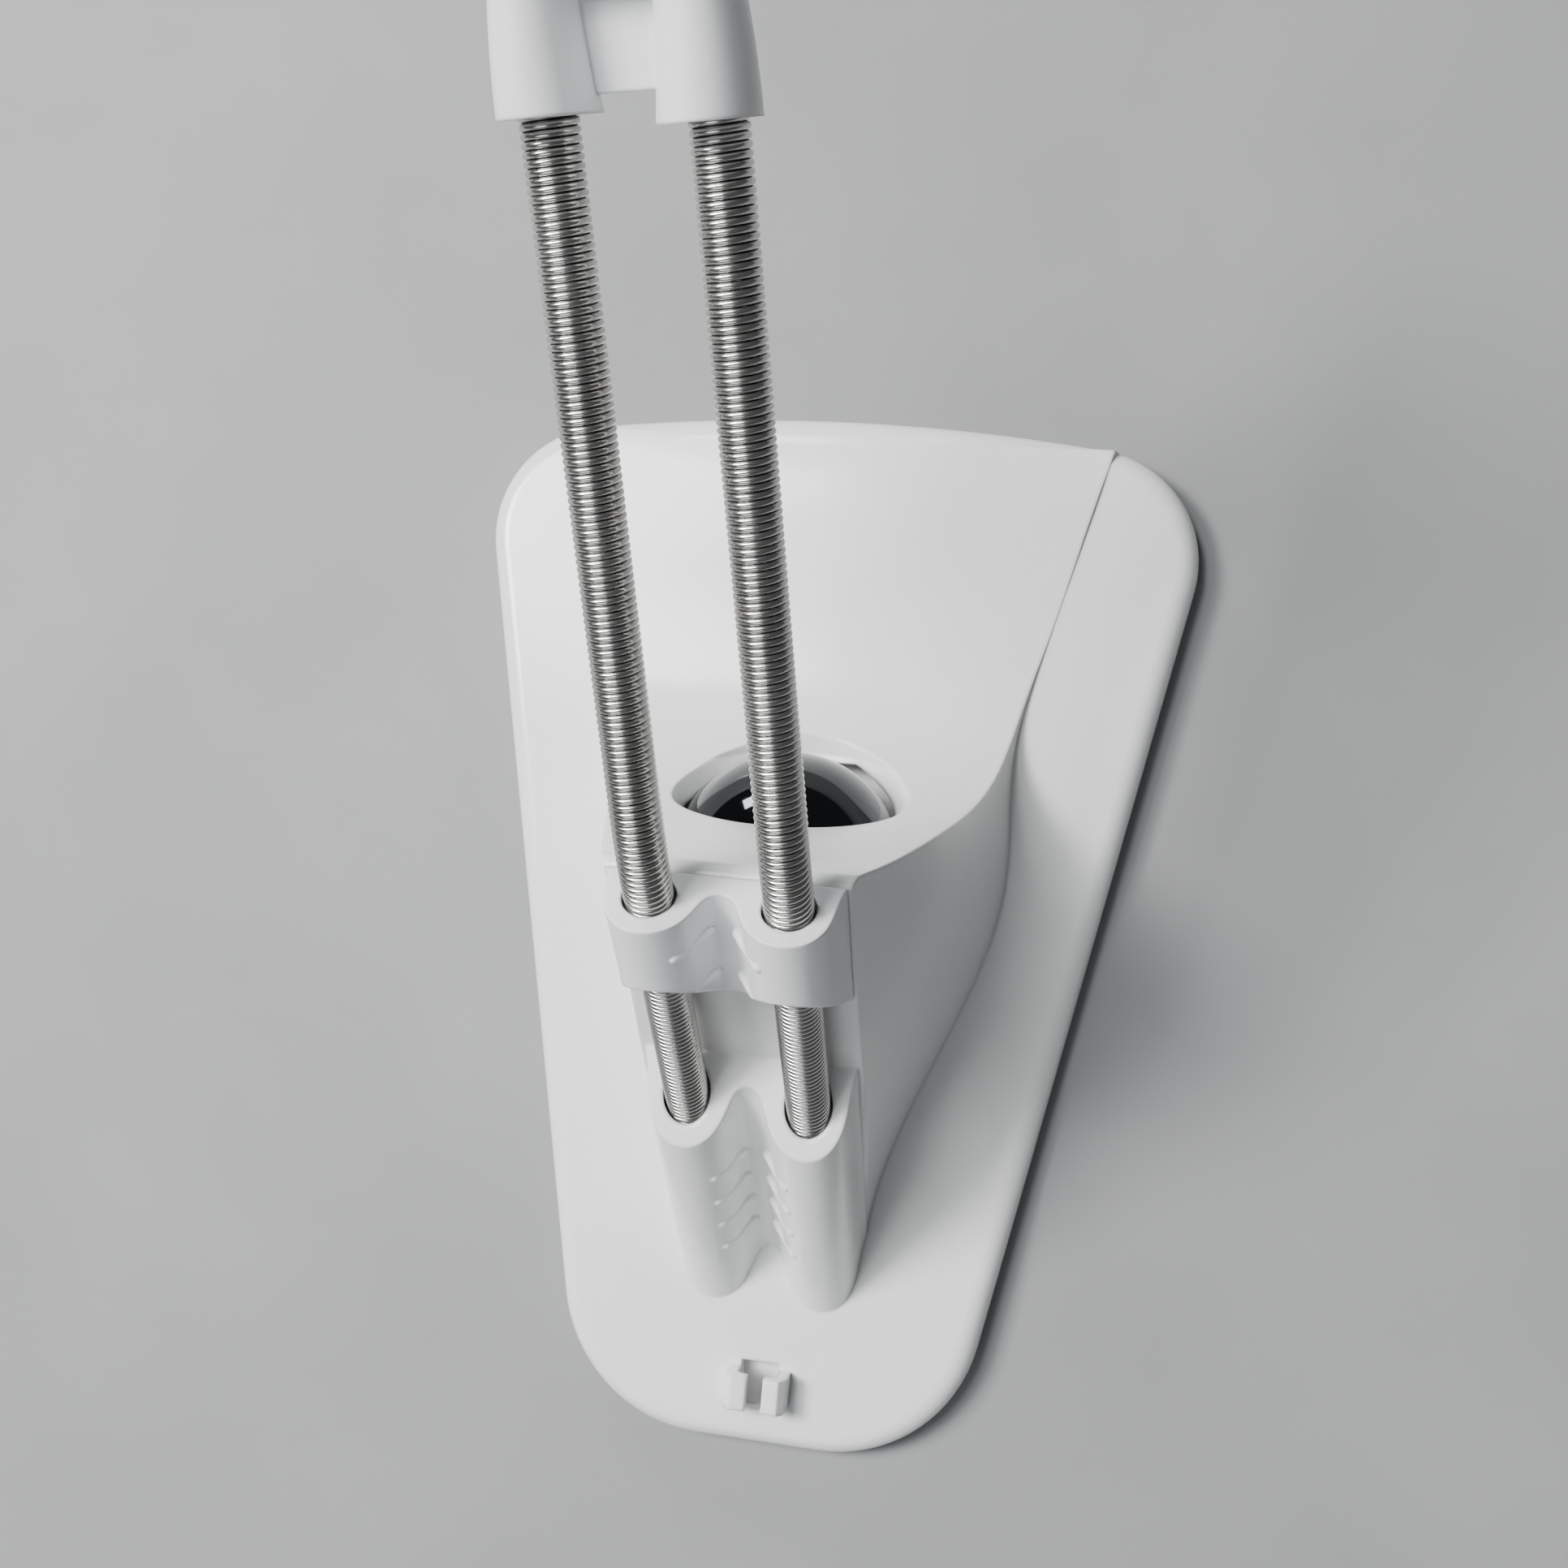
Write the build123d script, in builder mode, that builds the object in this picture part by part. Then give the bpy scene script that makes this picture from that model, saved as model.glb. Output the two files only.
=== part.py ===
from build123d import *
from math import sin, cos, radians
import os

os.makedirs("parts", exist_ok=True)

# ---- driving dimensions (mm) -------------------------------------------------
BASE_LEN = 108.2          # front edge to rear edge of the base
BASE_Y = 10.0095          # centre of the base; the head reaches out past its front edge
FRONT_HALF = 40.0         # half width at the front corner vertices
REAR_HALF = 19.6          # half width at the rear corner vertices
FRONT_BOW = 3.8           # front edge bows forward
FRONT_R = 12.0
REAR_R = 16.0
FOOT_OUT = 0.8            # feet stand proud of the cover
COVER_T = 1.8
PLATE_T = 1.8             # top wall of the plate
RIM_T = 2.0
Z_BOT = FOOT_OUT
Z_COV = Z_BOT + COVER_T   # top of the cover, underside of the plate wall
Z_TOP = Z_COV + PLATE_T   # top of the plate

LEAN = 42.0               # guide axis leans forward from the vertical, degrees
AXIS_Y = 38.13 + BASE_Y   # guide axis meets z = 0 here
SPRING_GAP = 11.36        # spacing of the two springs
SPRING_R = 2.05
WIRE = 0.55
SPRING_S0 = 9.0           # lower end of the springs along the guide axis
SLIDER_S1 = 63.4          # top of the slider along the guide axis
SLIDER_Y = 3.6 + BASE_Y   # upright underside of the slider
SLEEVE_Z = 26.4           # level tops of the two sleeves
BEND_R = 24.0             # springs bend forward just above the slider
BEND_DEG = 23.5
BEND_SIDE = 13.0          # the bend also carries the head a little to the left
FREE_LEN = 47.9           # straight free length after the bend
HEAD_GRIP = 4.5           # spring length inside the head

WALL_V = -2.9             # rear wall of the tower, ahead of the spring centres
WALL_T = 2.2
SLIDE_GAP = 0.25
BORE_R = 2.25

BALL_R = 11.5
BALL_Y = -6.5 + BASE_Y
BALL_Z = 15.3

# ---- guide axis frame --------------------------------------------------------
SL, CL = sin(radians(LEAN)), cos(radians(LEAN))


def guide_point(u, v, s):
    return (u, AXIS_Y - SL * s + CL * v, CL * s + SL * v)


def guide_plane(s):
    return Plane(origin=guide_point(0, 0, s), x_dir=(1, 0, 0), z_dir=(0, -SL, CL))


# springs above the slider: short bend, then straight to the head's lower rim
SB, CB = sin(radians(BEND_SIDE)), cos(radians(BEND_SIDE))
TOP0 = Vector(*guide_point(0, 0, SLIDER_S1))
T0 = Vector(0, -SL, CL)
BEND_DIR = Vector(SB, -CL * CB, -SL * CB)


def bend_point(deg):
    a = radians(deg)
    return TOP0 + T0 * (BEND_R * sin(a)) + BEND_DIR * (BEND_R * (1 - cos(a)))


def bend_dir(deg):
    a = radians(deg)
    return T0 * cos(a) + BEND_DIR * sin(a)


T1 = bend_dir(BEND_DEG)
RIM = bend_point(BEND_DEG) + T1 * FREE_LEN
HX = (Vector(1, 0, 0) - T1 * T1.X).normalized()


def head_plane(h):
    return Plane(origin=RIM + T1 * h, x_dir=HX, z_dir=T1)


def wall_pt(s, v):
    p = guide_point(0, v, s)
    return (p[1], p[2])


def shifted(pts):
    """Points given about the base's own centre, moved to where the base stands."""
    return [(p[0], p[1] + BASE_Y) for p in pts]


# ---- shared outlines ---------------------------------------------------------
with BuildSketch(Plane.XY.offset(Z_BOT)) as outline:
    yf, yr = BASE_Y - BASE_LEN / 2, BASE_Y + BASE_LEN / 2
    yc = yf + FRONT_BOW
    ax, bx = FRONT_HALF, REAR_HALF
    with BuildLine():
        ThreePointArc((-ax, yc), (0, yf), (ax, yc))
        Polyline((ax, yc), (bx, yr), (-bx, yr), (-ax, yc))
    make_face()
    fillet([v for v in outline.vertices() if v.Y < BASE_Y], FRONT_R)
    fillet([v for v in outline.vertices() if v.Y > yr - 0.5], REAR_R)

# tower seen from above, at the plate and at its top: the walls lean inwards
FOOT_PLAN = shifted([(9.7, 36.0), (9.9, 30.5), (13.0, 17.6), (17.9, 6.0), (20.4, -2.0), (21.1, -9.0),
                     (20.8, -16.0), (20.9, -21.0), (22.8, -30.0), (26.5, -44.5), (28.4, -52.0)])
TOP_PLAN = shifted([(9.7, 36.0), (6.5, 30.5), (4.4, 17.6), (5.6, 6.0), (8.0, -2.0), (9.9, -9.0),
                    (9.6, -16.0), (9.5, -21.0), (11.0, -30.0), (15.0, -44.5), (17.0, -52.0)])
TOWER_TOP = 48.0


def mirrored_plan(pts):
    Spline(*pts)
    Line(pts[-1], (-pts[-1][0], pts[-1][1]))
    Spline(*[(-x, y) for x, y in reversed(pts)])
    Line((-pts[0][0], pts[0][1]), pts[0])


# tower seen from the side: concave front, short top, rear wall along the guide
RAMP = shifted([(44.1, -7.35), (36.0, -8.9), (26.0, -11.3), (15.5, -14.4), (9.0, -18.0), (6.1, -21.4),
                (4.8, -27.0), (4.55, -40.0), (4.3, -52.0)])
RAMP = [(y, z) for z, y in RAMP]
RAMP_IN = shifted([(36.5, -6.6), (34.0, -7.1), (26.0, -9.2), (15.8, -12.2), (10.4, -15.0), (7.2, -17.6)])
RAMP_IN = [(y, z) for z, y in RAMP_IN]
WALL_TOP = wall_pt(63.0, WALL_V)
WALL_LOW = wall_pt((Z_COV - SL * WALL_V) / CL, WALL_V)
IN_V = WALL_V - WALL_T
WALL_IN_TOP = wall_pt((36.5 - SL * IN_V) / CL, IN_V)
WALL_IN_LOW = wall_pt((Z_BOT - SL * IN_V) / CL, IN_V)

with BuildSketch(Plane.YZ.offset(-60)) as side:
    with BuildLine():
        Spline(*RAMP)
        Polyline(RAMP[-1], (RAMP[-1][0], Z_COV), WALL_LOW, WALL_TOP)
        ThreePointArc(WALL_TOP, ((WALL_TOP[0] + RAMP[0][0]) / 2 - 0.05, (WALL_TOP[1] + RAMP[0][1]) / 2 + 0.25), RAMP[0])
    make_face()

with BuildSketch(Plane.YZ.offset(-60)) as side_in:
    with BuildLine():
        Spline(*RAMP_IN)
        Polyline(RAMP_IN[-1], (RAMP_IN[-1][0], Z_BOT), WALL_IN_LOW, WALL_IN_TOP, RAMP_IN[0])
    make_face()

# ---- tower block and the hollow inside it --------------------------------------
with BuildPart() as tower:
    with BuildSketch(Plane.XY.offset(Z_COV)):
        with BuildLine():
            mirrored_plan([(x + 0.5 * (x > 11), y) for x, y in FOOT_PLAN])
        make_face()
    with BuildSketch(Plane.XY.offset(TOWER_TOP)):
        with BuildLine():
            mirrored_plan(TOP_PLAN)
        make_face()
    loft(ruled=True)
    extrude(side.sketch.face(), amount=120, dir=(1, 0, 0), mode=Mode.INTERSECT)

with BuildPart() as cavity:
    with BuildSketch(Plane.XY.offset(Z_BOT)):
        with BuildLine():
            mirrored_plan([(x - 1.7, y) for x, y in FOOT_PLAN[:8]])
        make_face()
    with BuildSketch(Plane.XY.offset(TOWER_TOP)):
        with BuildLine():
            mirrored_plan([(max(x - 2.2, 1.5), y) for x, y in TOP_PLAN[:8]])
        make_face()
    loft(ruled=True)
    extrude(side_in.sketch.face(), amount=120, dir=(1, 0, 0), mode=Mode.INTERSECT)

# cross-section of sleeves and slider: two lobes round the springs, cable valley between
LOBES = [(9.9, -2.6), (9.35, -0.2), (8.85, 1.8), (7.7, 3.2), (5.75, 3.8), (3.75, 3.3), (2.5, 2.2), (1.75, 0.8),
         (0.95, -0.45), (0.0, -0.8)]
LOBES = LOBES + [(-u, v) for u, v in reversed(LOBES[:-1])]


def lobe_outline(back_v):
    Spline(*LOBES)
    Polyline(LOBES[-1], (-9.9, back_v), (9.9, back_v), LOBES[0])


# gripping ridges: small round bars on the flanks of the valley
RIDGE_A, RIDGE_B, RIDGE_R = (3.5, 2.85), (1.2, -0.25), 0.5


def ridge(s, sx):
    a = Vector(*guide_point(sx * RIDGE_A[0], RIDGE_A[1], s))
    b = Vector(*guide_point(sx * RIDGE_B[0], RIDGE_B[1], s))
    with Locations(Plane(origin=(a + b) * 0.5, z_dir=b - a).location):
        Cylinder(RIDGE_R, (b - a).length)
    with Locations(a, b):
        Sphere(RIDGE_R)


# ---- sleeves that hold the springs' lower ends --------------------------------
with BuildPart() as sleeves:
    with BuildSketch(guide_plane(-8)):
        with BuildLine():
            lobe_outline(WALL_V - 0.6)
        make_face()
    extrude(amount=56)
    for s in (25.7, 21.4, 17.1, 12.8):
        for sx in (-1, 1):
            ridge(s, sx)
    split(bisect_by=Plane.XY.offset(SLEEVE_Z), keep=Keep.BOTTOM)
    split(bisect_by=Plane.XY.offset(Z_COV), keep=Keep.TOP)

SCREW_XY = shifted([(7.2, 22.0), (-7.2, 22.0), (14.2, 2.0), (-14.2, 2.0)])
BOSS_TOP = [11.0, 11.0, 11.5, 11.5]

with BuildPart() as base_shell:
    add(outline.sketch)
    extrude(amount=Z_TOP - Z_BOT)
    fillet(base_shell.faces().sort_by(Axis.Z)[-1].edges(), 2.2)
    add(tower.part)
    add(sleeves.part)
    # underside pocket and the hollow of the tower
    with BuildSketch(Plane.XY.offset(Z_BOT)):
        add(outline.sketch)
        offset(amount=-RIM_T, kind=Kind.ARC, mode=Mode.REPLACE)
    extrude(amount=COVER_T, mode=Mode.SUBTRACT)
    add(cavity.part, mode=Mode.SUBTRACT)
    # screw bosses
    for (bx_, by_), bt in zip(SCREW_XY, BOSS_TOP):
        with Locations((bx_, by_, Z_COV)):
            Cylinder(2.6, bt - Z_COV, align=(Align.CENTER, Align.CENTER, Align.MIN))
    # dished opening that shows the ball
    with Locations((0, BALL_Y, BALL_Z)):
        Sphere(BALL_R + 0.35, mode=Mode.SUBTRACT)
    nrm = Vector(0, -0.957, 0.29)
    ball_c = Vector(0, BALL_Y, BALL_Z)
    with BuildSketch(Plane(origin=ball_c + nrm * 8.6, x_dir=(1, 0, 0), z_dir=nrm)) as dish_rim:
        Circle(12.2)
    extrude(amount=8.0, mode=Mode.SUBTRACT)
    with BuildSketch(Plane(origin=ball_c + nrm * 8.6, x_dir=(1, 0, 0), z_dir=nrm)):
        Circle(12.2)
    with BuildSketch(Plane(origin=ball_c + nrm * 5.2, x_dir=(1, 0, 0), z_dir=nrm)):
        Circle(10.0)
    loft(mode=Mode.SUBTRACT)
    # spring bores
    with BuildSketch(guide_plane(SPRING_S0 - 1.0)):
        with Locations((SPRING_GAP / 2, 0), (-SPRING_GAP / 2, 0)):
            Circle(BORE_R)
    extrude(amount=60, mode=Mode.SUBTRACT)
    # screw pilot holes
    for bx_, by_ in SCREW_XY:
        with Locations((bx_, by_, Z_COV)):
            Cylinder(0.95, 6.0, align=(Align.CENTER, Align.CENTER, Align.MIN), mode=Mode.SUBTRACT)
    # rear cable clip: opening in the plate, two posts with inward lips
    with Locations((0, 47.7 + BASE_Y, Z_COV)):
        Box(4.0, 5.0, PLATE_T + 1, align=(Align.CENTER, Align.CENTER, Align.MIN), mode=Mode.SUBTRACT)
    for sx in (-1, 1):
        with BuildSketch(Plane.XZ.offset(-(45.9 + BASE_Y))):
            with BuildLine():
                Polyline((sx * 2.0, Z_COV + 0.6), (sx * 3.3, Z_COV + 0.6), (sx * 3.15, Z_TOP + 2.6), (sx * 2.5, Z_TOP + 3.4),
                         (sx * 0.85, Z_TOP + 3.2), (sx * 0.85, Z_TOP + 2.3), (sx * 2.0, Z_TOP + 1.9), (sx * 2.0, Z_COV + 0.6))
            make_face()
        extrude(amount=-3.5)

base_shell.part.label = "base_shell"
export_step(base_shell.part, "parts/base_shell.step")

# ---- cover under the base -----------------------------------------------------
FEET_XY = {"front_left": (27.0, -41.0 + BASE_Y), "front_right": (-27.0, -41.0 + BASE_Y),
           "rear_left": (12.5, 41.0 + BASE_Y), "rear_right": (-12.5, 41.0 + BASE_Y)}
FOOT_R = 5.0
FOOT_T = 1.4

with BuildPart() as base_cover:
    with BuildSketch(Plane.XY.offset(Z_BOT)):
        add(outline.sketch)
        offset(amount=-RIM_T - 0.2, kind=Kind.ARC, mode=Mode.REPLACE)
    extrude(amount=COVER_T)
    # ring that the ball rests in
    with Locations((0, BALL_Y, Z_COV - 0.2)):
        Cylinder(8.2, 4.6, align=(Align.CENTER, Align.CENTER, Align.MIN))
        Cylinder(6.4, 4.6, align=(Align.CENTER, Align.CENTER, Align.MIN), mode=Mode.SUBTRACT)
    with Locations((0, BALL_Y, BALL_Z)):
        Sphere(BALL_R + 0.02, mode=Mode.SUBTRACT)
    # screw holes with sunk heads, pockets for the feet
    for x, y in SCREW_XY:
        with Locations((x, y, Z_BOT)):
            Cylinder(1.3, COVER_T, align=(Align.CENTER, Align.CENTER, Align.MIN), mode=Mode.SUBTRACT)
            Cylinder(2.5, 1.0, align=(Align.CENTER, Align.CENTER, Align.MIN), mode=Mode.SUBTRACT)
    for x, y in FEET_XY.values():
        with Locations((x, y, Z_BOT)):
            Cylinder(FOOT_R + 0.1, FOOT_T - FOOT_OUT, align=(Align.CENTER, Align.CENTER, Align.MIN), mode=Mode.SUBTRACT)
base_cover.part.label = "base_cover"
export_step(base_cover.part, "parts/base_cover.step")

with BuildPart() as cover_screws:
    for x, y in SCREW_XY:
        with Locations((x, y, Z_BOT + 0.15)):
            Cylinder(2.2, 0.85, align=(Align.CENTER, Align.CENTER, Align.MIN))
        with Locations((x, y, Z_BOT + 1.0)):
            Cylinder(0.93, 6.2, align=(Align.CENTER, Align.CENTER, Align.MIN))
        with Locations((x, y, Z_BOT + 0.15)):
            Box(2.6, 0.55, 0.45, align=(Align.CENTER, Align.CENTER, Align.MIN), mode=Mode.SUBTRACT)
            Box(0.55, 2.6, 0.45, align=(Align.CENTER, Align.CENTER, Align.MIN), mode=Mode.SUBTRACT)
cover_screws.part.label = "cover_screws"
export_step(cover_screws.part, "parts/cover_screws.step")

with BuildPart() as foot_front_left:
    with Locations((*FEET_XY["front_left"], 0)):
        Cylinder(FOOT_R, FOOT_T, align=(Align.CENTER, Align.CENTER, Align.MIN))
    fillet(foot_front_left.edges().sort_by(Axis.Z)[0], 0.4)
foot_front_left.part.label = "foot_front_left"
export_step(foot_front_left.part, "parts/foot_front_left.step")

with BuildPart() as foot_front_right:
    with Locations((*FEET_XY["front_right"], 0)):
        Cylinder(FOOT_R, FOOT_T, align=(Align.CENTER, Align.CENTER, Align.MIN))
    fillet(foot_front_right.edges().sort_by(Axis.Z)[0], 0.4)
foot_front_right.part.label = "foot_front_right"
export_step(foot_front_right.part, "parts/foot_front_right.step")

with BuildPart() as foot_rear_left:
    with Locations((*FEET_XY["rear_left"], 0)):
        Cylinder(FOOT_R, FOOT_T, align=(Align.CENTER, Align.CENTER, Align.MIN))
    fillet(foot_rear_left.edges().sort_by(Axis.Z)[0], 0.4)
foot_rear_left.part.label = "foot_rear_left"
export_step(foot_rear_left.part, "parts/foot_rear_left.step")

with BuildPart() as foot_rear_right:
    with Locations((*FEET_XY["rear_right"], 0)):
        Cylinder(FOOT_R, FOOT_T, align=(Align.CENTER, Align.CENTER, Align.MIN))
    fillet(foot_rear_right.edges().sort_by(Axis.Z)[0], 0.4)
foot_rear_right.part.label = "foot_rear_right"
export_step(foot_rear_right.part, "parts/foot_rear_right.step")

with BuildPart() as ballast_ball:
    with Locations((0, BALL_Y, BALL_Z)):
        Sphere(BALL_R)
ballast_ball.part.label = "ballast_ball"
export_step(ballast_ball.part, "parts/ballast_ball.step")

# ---- springs: close wound, drawn as tubes over the full coil diameter ---------


def spring_path(u):
    off = Vector(u, 0, 0)
    low = Vector(*guide_point(0, 0, SPRING_S0)) + off
    return low, TOP0 + off, bend_point(BEND_DEG / 2) + off, bend_point(BEND_DEG) + off, RIM + T1 * HEAD_GRIP + off


P_L = spring_path(SPRING_GAP / 2)
P_R = spring_path(-SPRING_GAP / 2)

with BuildPart() as spring_left:
    with BuildLine():
        Line(P_L[0], P_L[1])
        ThreePointArc(P_L[1], P_L[2], P_L[3])
        Line(P_L[3], P_L[4])
    with BuildSketch(Plane(origin=P_L[0], x_dir=(1, 0, 0), z_dir=T0)):
        Circle(SPRING_R)
        Circle(SPRING_R - WIRE, mode=Mode.SUBTRACT)
    sweep()
spring_left.part.label = "spring_left"
export_step(spring_left.part, "parts/spring_left.step")

with BuildPart() as spring_right:
    with BuildLine():
        Line(P_R[0], P_R[1])
        ThreePointArc(P_R[1], P_R[2], P_R[3])
        Line(P_R[3], P_R[4])
    with BuildSketch(Plane(origin=P_R[0], x_dir=(1, 0, 0), z_dir=T0)):
        Circle(SPRING_R)
        Circle(SPRING_R - WIRE, mode=Mode.SUBTRACT)
    sweep()
spring_right.part.label = "spring_right"
export_step(spring_right.part, "parts/spring_right.step")

# ---- plugs pressed into the spring ends ---------------------------------------
PLUG_R = SPRING_R - WIRE - 0.03
PLUG_L = 9.0

with BuildPart() as lower_plug_left:
    with BuildSketch(guide_plane(SPRING_S0 - 1.0)):
        with Locations((SPRING_GAP / 2, 0)):
            Circle(SPRING_R)
    extrude(amount=1.0)
    with BuildSketch(guide_plane(SPRING_S0)):
        with Locations((SPRING_GAP / 2, 0)):
            Circle(PLUG_R)
    extrude(amount=PLUG_L)
    chamfer(lower_plug_left.faces().sort_by(Axis((0, 0, 0), (0, -SL, CL)))[-1].edges(), 0.4)
lower_plug_left.part.label = "lower_plug_left"
export_step(lower_plug_left.part, "parts/lower_plug_left.step")

with BuildPart() as lower_plug_right:
    with BuildSketch(guide_plane(SPRING_S0 - 1.0)):
        with Locations((-SPRING_GAP / 2, 0)):
            Circle(SPRING_R)
    extrude(amount=1.0)
    with BuildSketch(guide_plane(SPRING_S0)):
        with Locations((-SPRING_GAP / 2, 0)):
            Circle(PLUG_R)
    extrude(amount=PLUG_L)
    chamfer(lower_plug_right.faces().sort_by(Axis((0, 0, 0), (0, -SL, CL)))[-1].edges(), 0.4)
lower_plug_right.part.label = "lower_plug_right"
export_step(lower_plug_right.part, "parts/lower_plug_right.step")

with BuildPart() as upper_plug_left:
    with BuildSketch(Plane(origin=P_L[4] + T1 * 1.0, x_dir=HX, z_dir=-T1)):
        Circle(SPRING_R)
    extrude(amount=1.0)
    with BuildSketch(Plane(origin=P_L[4], x_dir=HX, z_dir=-T1)):
        Circle(PLUG_R)
    extrude(amount=HEAD_GRIP - 1.0)
upper_plug_left.part.label = "upper_plug_left"
export_step(upper_plug_left.part, "parts/upper_plug_left.step")

with BuildPart() as upper_plug_right:
    with BuildSketch(Plane(origin=P_R[4] + T1 * 1.0, x_dir=HX, z_dir=-T1)):
        Circle(SPRING_R)
    extrude(amount=1.0)
    with BuildSketch(Plane(origin=P_R[4], x_dir=HX, z_dir=-T1)):
        Circle(PLUG_R)
    extrude(amount=HEAD_GRIP - 1.0)
upper_plug_right.part.label = "upper_plug_right"
export_step(upper_plug_right.part, "parts/upper_plug_right.step")

# ---- slider: two bored lobes with a cable valley between them ------------------
with BuildPart() as slider:
    with BuildSketch(guide_plane(44.0)):
        with BuildLine():
            lobe_outline(WALL_V + SLIDE_GAP)
        make_face()
    extrude(amount=SLIDER_S1 - 44.0)
    for s in (59.4, 53.9):
        for sx in (-1, 1):
            ridge(s, sx)
    # upright underside
    split(bisect_by=Plane(origin=(0, SLIDER_Y, 0), x_dir=(1, 0, 0), z_dir=(0, 1, 0)), keep=Keep.BOTTOM)
    with BuildSketch(guide_plane(40.0)):
        with Locations((SPRING_GAP / 2, 0), (-SPRING_GAP / 2, 0)):
            Circle(BORE_R)
    extrude(amount=30, mode=Mode.SUBTRACT)
slider.part.label = "slider"
export_step(slider.part, "parts/slider.step")

# ---- head: two flared legs, a recessed web and a crown with a cable slot --------
HEAD_H = 20.0
LEG_UP = 0.8              # legs stand higher above the springs than below them
# height up the leg, half width, half depth, shift towards the middle
LEG_RINGS = [(0.0, 3.4, 4.3, 0.4), (5.5, 3.0, 4.0, 0.3), (12.0, 2.4, 3.7, 0.7)]
with BuildPart() as head:
    for sx in (1, -1):
        rim = RIM + Vector(sx * SPRING_GAP / 2, 0, 0)
        for h, w, d, inward in LEG_RINGS:
            with BuildSketch(Plane(origin=rim + T1 * h, x_dir=HX, z_dir=T1)):
                with Locations((-sx * inward, LEG_UP)):
                    Ellipse(w, d)
        loft()
    # web between the legs, set back
    with BuildSketch(head_plane(1.6)):
        with Locations((0, -0.4)):
            Rectangle(SPRING_GAP, 2.8)
    extrude(amount=10.0)
    # crown
    with BuildSketch(head_plane(9.0)):
        with Locations((0, LEG_UP)):
            RectangleRounded(SPRING_GAP + 3.4, 7.4, 3.4)
    extrude(amount=HEAD_H - 9.0)
    fillet(head.faces().sort_by(Axis((0, 0, 0), (T1.X, T1.Y, T1.Z)))[-1].edges(), 2.6)
    # cable slot: narrow mouth over a round seat
    with BuildSketch(Plane(origin=RIM + T1 * 13.6, x_dir=HX, z_dir=T1.cross(HX))):
        Circle(1.95)
        with Locations((0, -5.0)):
            Rectangle(2.6, 10.0)
    extrude(amount=30, both=True, mode=Mode.SUBTRACT)
    # sockets for the springs
    for u in (SPRING_GAP / 2, -SPRING_GAP / 2):
        rim = RIM + Vector(u, 0, 0)
        with BuildSketch(Plane(origin=rim - T1 * 1.5, x_dir=HX, z_dir=T1)):
            Circle(SPRING_R + 0.1)
        extrude(amount=HEAD_GRIP + 1.0 + 1.5, mode=Mode.SUBTRACT)
head.part.label = "head"
export_step(head.part, "parts/head.step")
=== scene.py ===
import bpy
import math
from mathutils import Matrix, Vector


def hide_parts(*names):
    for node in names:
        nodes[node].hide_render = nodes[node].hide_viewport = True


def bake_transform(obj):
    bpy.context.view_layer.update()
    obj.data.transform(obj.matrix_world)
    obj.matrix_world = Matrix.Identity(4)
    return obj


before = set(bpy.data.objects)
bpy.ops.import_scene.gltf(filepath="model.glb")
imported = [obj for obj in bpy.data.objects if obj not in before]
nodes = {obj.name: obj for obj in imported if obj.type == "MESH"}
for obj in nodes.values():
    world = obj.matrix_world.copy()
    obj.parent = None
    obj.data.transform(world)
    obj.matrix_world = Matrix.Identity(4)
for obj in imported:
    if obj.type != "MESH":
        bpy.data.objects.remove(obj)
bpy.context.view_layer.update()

MM = 0.001

# ---------------------------------------------------------------- materials ----


def new_mat(name):
    m = bpy.data.materials.new(name)
    m.use_nodes = True
    nt = m.node_tree
    nt.nodes.clear()
    out = nt.nodes.new("ShaderNodeOutputMaterial")
    bsdf = nt.nodes.new("ShaderNodeBsdfPrincipled")
    nt.links.new(bsdf.outputs["BSDF"], out.inputs["Surface"])
    coord = nt.nodes.new("ShaderNodeTexCoord")
    return m, nt, bsdf, coord.outputs["Object"]


def noise(nt, vec, scale, detail=3.0, rough=0.5):
    n = nt.nodes.new("ShaderNodeTexNoise")
    n.inputs["Scale"].default_value = scale
    n.inputs["Detail"].default_value = detail
    n.inputs["Roughness"].default_value = rough
    nt.links.new(vec, n.inputs["Vector"])
    return n.outputs["Fac"]


def ramp(nt, fac, lo, hi, a, b):
    r = nt.nodes.new("ShaderNodeValToRGB")
    r.color_ramp.elements[0].position = lo
    r.color_ramp.elements[1].position = hi
    r.color_ramp.elements[0].color = (*a, 1)
    r.color_ramp.elements[1].color = (*b, 1)
    nt.links.new(fac, r.inputs["Fac"])
    return r.outputs["Color"]


def map_range(nt, fac, a, b):
    r = nt.nodes.new("ShaderNodeMapRange")
    r.inputs["To Min"].default_value = a
    r.inputs["To Max"].default_value = b
    nt.links.new(fac, r.inputs["Value"])
    return r.outputs["Result"]


def add_bump(nt, bsdf, layers, bevel=0.0):
    prev = None
    if bevel:
        bv = nt.nodes.new("ShaderNodeBevel")
        bv.samples = 6
        bv.inputs["Radius"].default_value = bevel
        prev = bv.outputs["Normal"]
    for fac, strength, dist in layers:
        b = nt.nodes.new("ShaderNodeBump")
        b.inputs["Strength"].default_value = strength
        b.inputs["Distance"].default_value = dist
        nt.links.new(fac, b.inputs["Height"])
        if prev is not None:
            nt.links.new(prev, b.inputs["Normal"])
        prev = b.outputs["Normal"]
    nt.links.new(prev, bsdf.inputs["Normal"])


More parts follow.
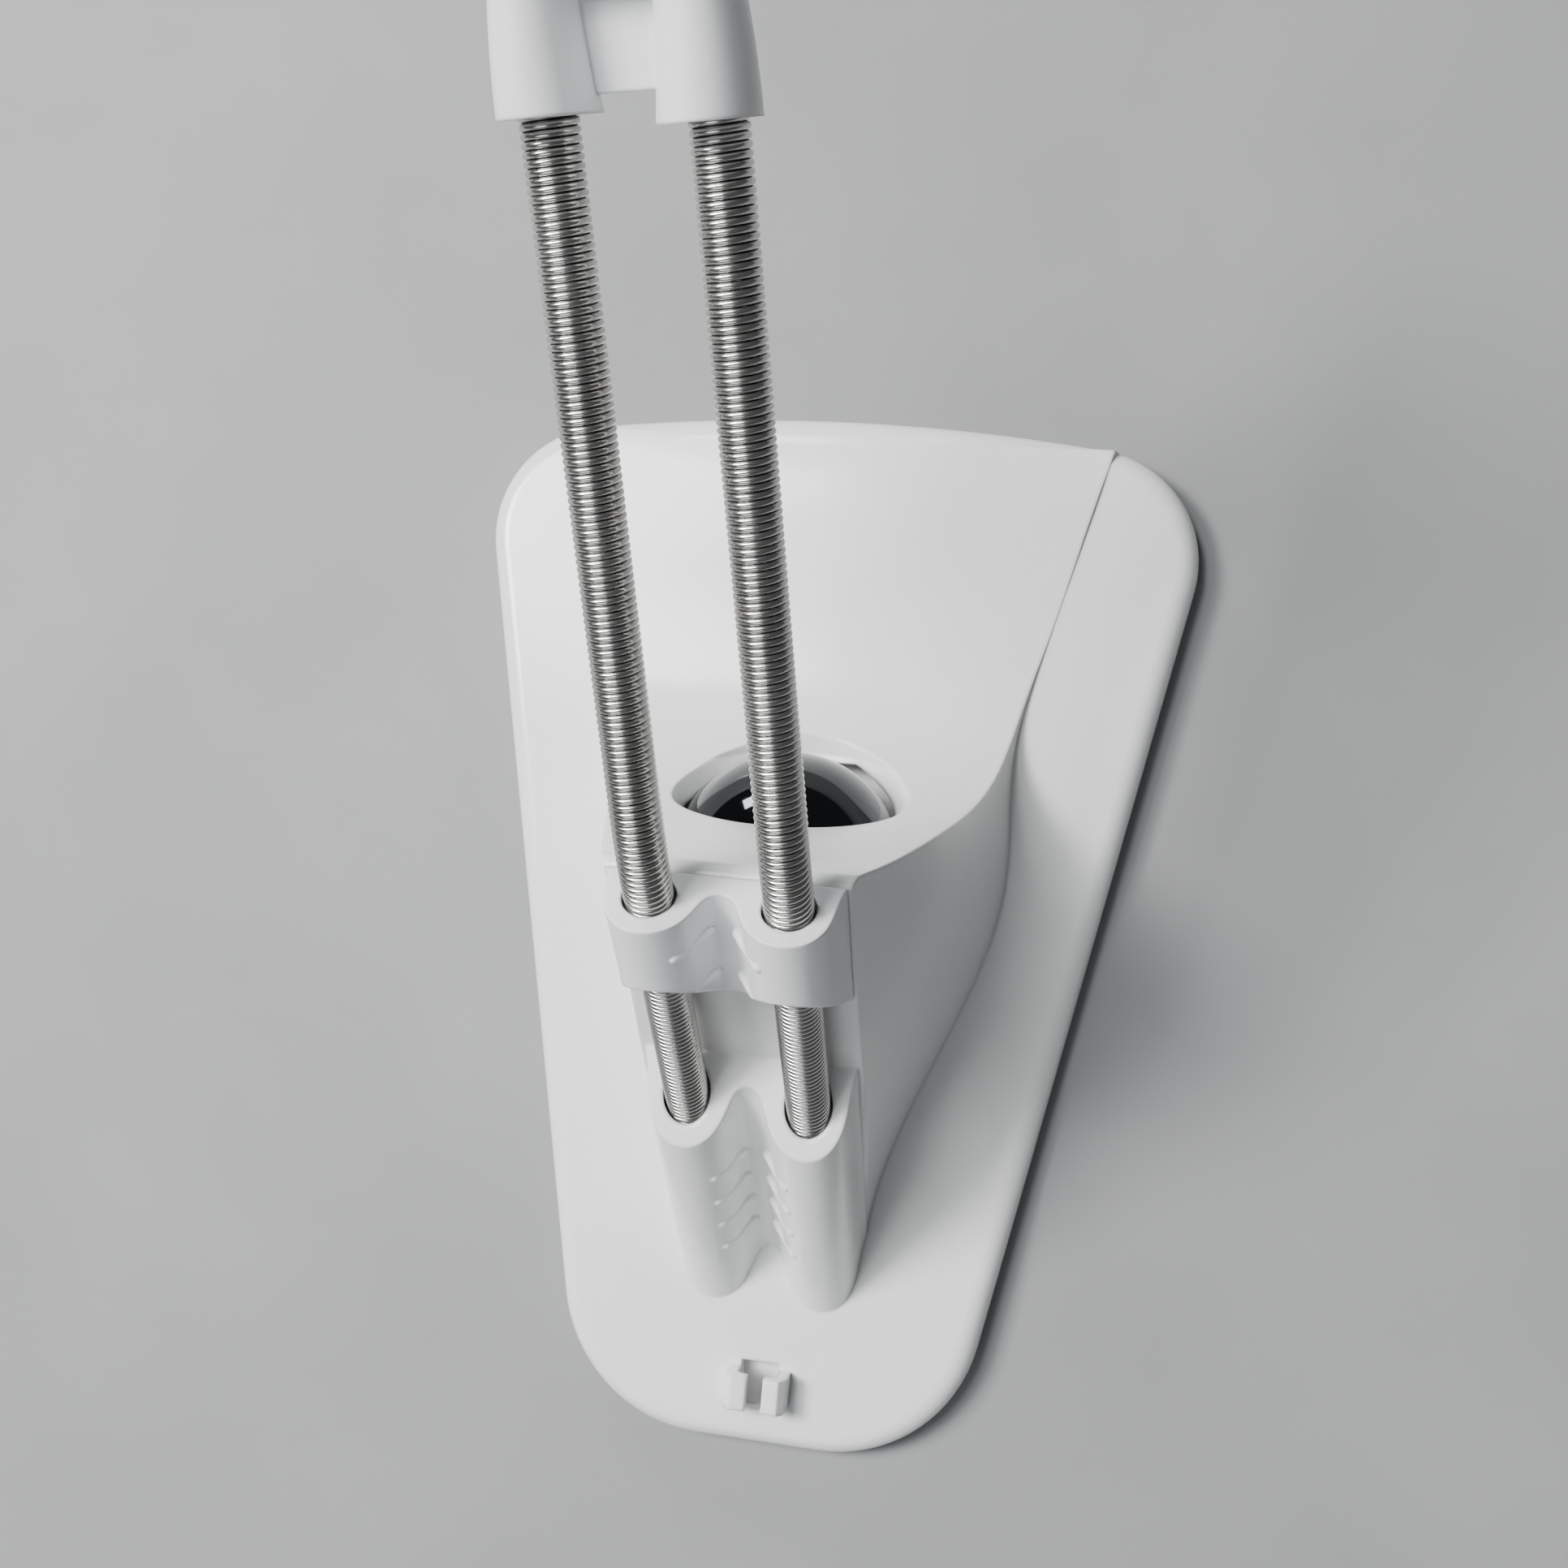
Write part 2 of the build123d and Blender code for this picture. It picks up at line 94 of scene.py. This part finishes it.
def plastic(name, lo, hi, r0, r1, bevel, coat=0.0):
    m, nt, bsdf, vec = new_mat(name)
    big = noise(nt, vec, 60, 2.0)
    fine = noise(nt, vec, 900, 2.0)
    grain = noise(nt, vec, 5200, 2.0)
    nt.links.new(ramp(nt, big, 0.3, 0.7, lo, hi), bsdf.inputs["Base Color"])
    nt.links.new(map_range(nt, fine, r0, r1), bsdf.inputs["Roughness"])
    bsdf.inputs["IOR"].default_value = 1.5
    bsdf.inputs["Coat Weight"].default_value = coat
    bsdf.inputs["Coat Roughness"].default_value = 0.12
    bsdf.inputs["Subsurface Weight"].default_value = 0.06
    bsdf.inputs["Subsurface Radius"].default_value = (0.002, 0.0018, 0.0015)
    add_bump(nt, bsdf, [(fine, 0.10, 0.00012), (grain, 0.06, 0.00003)], bevel)
    return m


def metal(name, lo, hi, r0, r1, bump, stretch=None, scale=600):
    m, nt, bsdf, vec = new_mat(name)
    v = vec
    if stretch:
        mp = nt.nodes.new("ShaderNodeMapping")
        mp.inputs["Scale"].default_value = stretch
        nt.links.new(vec, mp.inputs["Vector"])
        v = mp.outputs["Vector"]
    big = noise(nt, vec, 80, 3.0)
    fine = noise(nt, v, scale, 4.0, 0.6)
    nt.links.new(ramp(nt, big, 0.3, 0.7, lo, hi), bsdf.inputs["Base Color"])
    nt.links.new(map_range(nt, fine, r0, r1), bsdf.inputs["Roughness"])
    bsdf.inputs["Metallic"].default_value = 1.0
    add_bump(nt, bsdf, [(fine, bump, 0.00002)])
    return m


white_gloss = plastic("white_gloss", (0.80, 0.81, 0.81), (0.84, 0.85, 0.85), 0.20, 0.28, 0.0006, 0.25)
white_satin = plastic("white_satin", (0.76, 0.77, 0.785), (0.80, 0.81, 0.82), 0.26, 0.36, 0.0004, 0.15)
white_matte = plastic("white_matte", (0.60, 0.60, 0.60), (0.66, 0.66, 0.66), 0.5, 0.62, 0.0003)
spring_steel = metal("spring_steel", (0.54, 0.53, 0.51), (0.66, 0.65, 0.63), 0.18, 0.30, 0.10)
ball_steel = metal("ball_steel", (0.055, 0.058, 0.062), (0.085, 0.088, 0.092), 0.03, 0.07, 0.02)
plug_steel = metal("plug_steel", (0.45, 0.45, 0.46), (0.55, 0.55, 0.56), 0.25, 0.40, 0.12)
screw_steel = metal("screw_steel", (0.42, 0.42, 0.44), (0.55, 0.55, 0.57), 0.22, 0.38, 0.12)

foot_rubber, nt, bsdf, vec = new_mat("foot_rubber")
fine = noise(nt, vec, 1500, 4.0, 0.6)
nt.links.new(ramp(nt, noise(nt, vec, 300), 0.3, 0.7, (0.02, 0.02, 0.021), (0.04, 0.04, 0.042)), bsdf.inputs["Base Color"])
nt.links.new(map_range(nt, fine, 0.75, 0.92), bsdf.inputs["Roughness"])
add_bump(nt, bsdf, [(fine, 0.3, 0.0001)])

SKIN = {
    "base_shell": white_gloss, "slider": white_satin, "head": white_satin, "base_cover": white_matte,
    "ballast_ball": ball_steel, "cover_screws": screw_steel,
    "lower_plug_left": plug_steel, "lower_plug_right": plug_steel,
    "upper_plug_left": plug_steel, "upper_plug_right": plug_steel,
    "spring_left": spring_steel, "spring_right": spring_steel,
    "foot_front_left": foot_rubber, "foot_front_right": foot_rubber,
    "foot_rear_left": foot_rubber, "foot_rear_right": foot_rubber,
}
for n, m in SKIN.items():
    o = nodes[n]
    o.data.materials.clear()
    o.data.materials.append(m)

# ------------------------------------------------------- coil springs (mesh) ----
BASE_Y = 10.0095
LEAN = math.radians(42.0)
SL, CL = math.sin(LEAN), math.cos(LEAN)
AXIS_Y = 38.13 + BASE_Y
GAP = 11.36
S0, S1 = 9.0, 63.4
BEND_R, BEND_A, SIDE = 24.0, math.radians(23.5), math.radians(13.0)
FREE = 47.9
GRIP = 4.5
WIRE_R = 0.275
COIL_R = 2.05 - WIRE_R
PITCH = 0.556

T0 = Vector((0, -SL, CL))
BD = Vector((math.sin(SIDE), -CL * math.cos(SIDE), -SL * math.cos(SIDE)))
KB = T0.cross(BD)
TOP0 = Vector((0, AXIS_Y - SL * S1, CL * S1))
ARC = BEND_R * BEND_A
ARC_END = TOP0 + T0 * (BEND_R * math.sin(BEND_A)) + BD * (BEND_R * (1 - math.cos(BEND_A)))
T1 = T0 * math.cos(BEND_A) + BD * math.sin(BEND_A)


def path(l):
    """Point, tangent and normal at length l from the lower end."""
    l1 = S1 - S0
    if l <= l1:
        return TOP0 - T0 * (l1 - l), T0, BD
    if l <= l1 + ARC:
        a = (l - l1) / BEND_R
        return (TOP0 + T0 * (BEND_R * math.sin(a)) + BD * (BEND_R * (1 - math.cos(a))),
                T0 * math.cos(a) + BD * math.sin(a), BD * math.cos(a) - T0 * math.sin(a))
    return ARC_END + T1 * (l - l1 - ARC), T1, BD * math.cos(BEND_A) - T0 * math.sin(BEND_A)


def helix(name, u, start_angle):
    total = (S1 - S0) + ARC + FREE + GRIP
    seg, sec = 24, 8
    l0, l1 = WIRE_R, total - WIRE_R
    turns = (l1 - l0) / PITCH
    count = int(turns * seg)
    verts, faces = [], []
    for i in range(count + 1):
        f = i / seg
        p, t, n = path(l0 + f * PITCH)
        th = start_angle + f * 2 * math.pi
        r = n * math.cos(th) + KB * math.sin(th)
        for k in range(sec):
            ph = 2 * math.pi * k / sec
            q = p + Vector((u, 0, 0)) + r * (COIL_R + WIRE_R * math.cos(ph)) + t * (WIRE_R * math.sin(ph))
            verts.append(q * MM)
        if i:
            a, b = (i - 1) * sec, i * sec
            for k in range(sec):
                j = (k + 1) % sec
                faces.append((a + k, a + j, b + j, b + k))
    faces.append(tuple(range(sec)))
    faces.append(tuple(reversed(range(count * sec, count * sec + sec))))
    me = bpy.data.meshes.new(name)
    me.from_pydata(verts, [], faces)
    me.update()
    for pl in me.polygons:
        pl.use_smooth = True
    ob = bpy.data.objects.new(name, me)
    bpy.context.scene.collection.objects.link(ob)
    me.materials.append(spring_steel)
    return ob


for node, u, a in (("spring_left", GAP / 2, 0.4), ("spring_right", -GAP / 2, 2.1)):
    ob = helix("coil_" + node, u, a)
    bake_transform(ob)
    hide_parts(node)

# ------------------------------------------------------------ floor and light ----
floor_mat, nt, bsdf, vec = new_mat("floor")
nt.links.new(ramp(nt, noise(nt, vec, 30, 4.0), 0.3, 0.7, (0.26, 0.264, 0.27), (0.29, 0.294, 0.30)), bsdf.inputs["Base Color"])
bsdf.inputs["Roughness"].default_value = 0.7
me = bpy.data.meshes.new("floor")
me.from_pydata([(-3, -3, 0), (3, -3, 0), (3, 3, 0), (-3, 3, 0)], [], [(0, 1, 2, 3)])
floor = bpy.data.objects.new("floor", me)
me.materials.append(floor_mat)
bpy.context.scene.collection.objects.link(floor)


def area(name, loc, target, size, power, color=(1, 1, 1)):
    l = bpy.data.lights.new(name, "AREA")
    l.shape = "RECTANGLE"
    l.size, l.size_y = size
    l.energy = power
    l.color = color
    o = bpy.data.objects.new(name, l)
    o.location = loc
    d = Vector(target) - Vector(loc)
    o.rotation_euler = d.to_track_quat("-Z", "Y").to_euler()
    bpy.context.scene.collection.objects.link(o)
    return o


area("key", (0.50, -0.16, 0.66), (0, 0, 0.02), (0.24, 0.24), 10.5, (1.0, 0.995, 0.98))
area("top", (0.27, -0.22, 0.76), (0, 0, 0.02), (0.24, 0.24), 4.6, (1.0, 1.0, 1.0))
area("window", (0.40, -0.70, 0.24), (0, -0.01, 0.02), (0.22, 0.16), 2.2, (0.97, 0.99, 1.0))
area("back", (0.15, 0.62, 0.45), (0, 0.02, 0.03), (0.5, 0.5), 1.5, (0.95, 0.975, 1.0))

world = bpy.data.worlds.new("world")
bpy.context.scene.world = world
world.use_nodes = True
world.node_tree.nodes["Background"].inputs["Color"].default_value = (0.80, 0.82, 0.85, 1)
world.node_tree.nodes["Background"].inputs["Strength"].default_value = 0.11

# --------------------------------------------------------------------- camera ----
cam = bpy.data.cameras.new("camera")
cam.sensor_width = 36.0
cam.lens = 36.0 * 2000.0 / 1932.0
cam.clip_start = 0.005
cob = bpy.data.objects.new("camera", cam)
right = Vector((-0.98226, -0.08731, -0.16613)).normalized()
back = Vector((-0.1686, 0.02183, 0.9854))
back = (back - right * back.dot(right)).normalized()
up = back.cross(right)
m = Matrix((right, up, back)).transposed().to_4x4()
m.translation = Vector((-25.93, -11.27 + BASE_Y, 172.91)) * MM
cob.matrix_world = m
bpy.context.scene.collection.objects.link(cob)
bpy.context.scene.camera = cob
